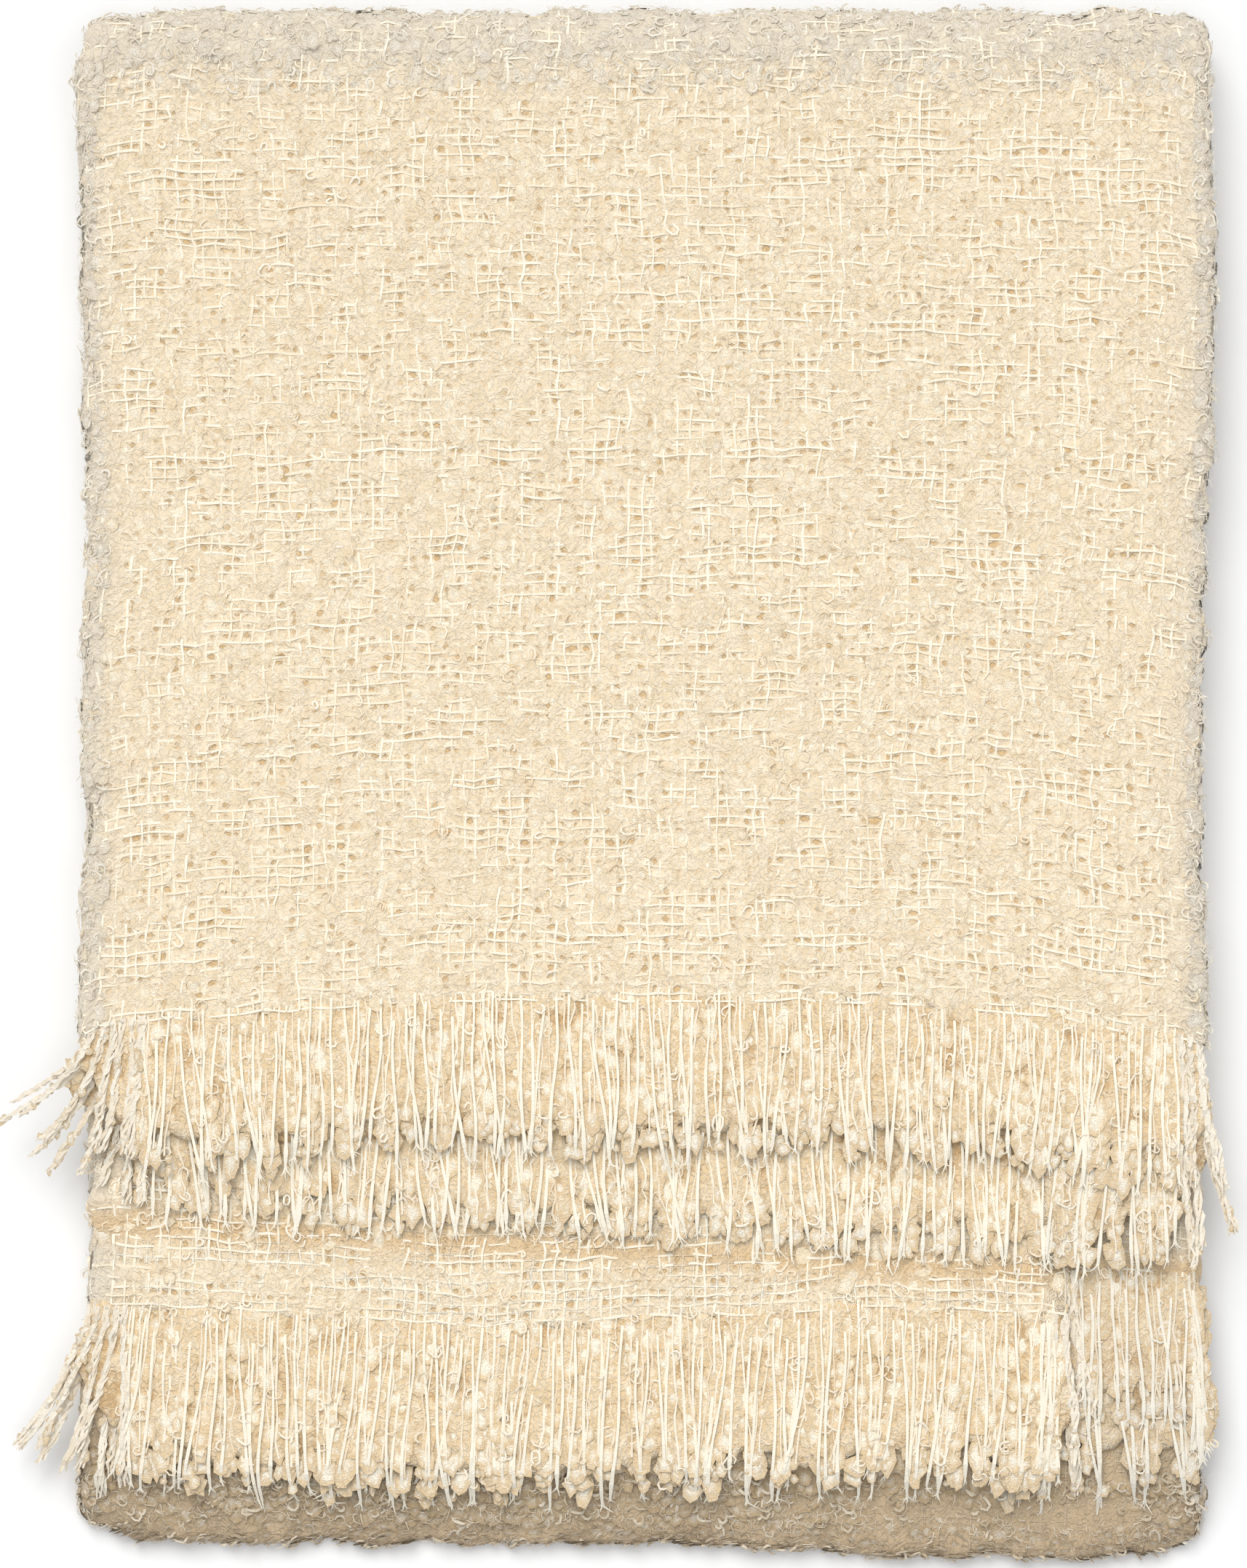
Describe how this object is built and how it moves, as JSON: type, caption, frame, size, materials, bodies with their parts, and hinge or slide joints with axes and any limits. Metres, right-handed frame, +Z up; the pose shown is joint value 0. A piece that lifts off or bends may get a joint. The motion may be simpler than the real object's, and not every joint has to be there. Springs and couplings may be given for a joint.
{
  "type": "boucle throw blanket, folded",
  "caption": "Cream open-weave boucle throw folded flat in a stack, with its staggered hems and rows of loose yarn fringe laid out on top.",
  "frame": {"origin": "middle of the underside of the folded throw's bounding box, fringe included", "axes": "+Z up out of the folded stack, +Y along the stack towards its outer fold, +X across it to the right with the fringe at the near end"},
  "size_m": [0.4728, 0.5984, 0.0411],
  "materials": {
    "boucle_cloth": "matte open plain weave of brushed boucle wool, cream",
    "fringe_yarn": "loose warp yarns with curls, matte cream wool with a thin smooth binder thread"
  },
  "bodies": {
    "root": {"throw_cloth": "boucle_cloth", "fringe_first_end": "fringe_yarn", "fringe_second_end": "fringe_yarn"}
  },
  "joints": []
}
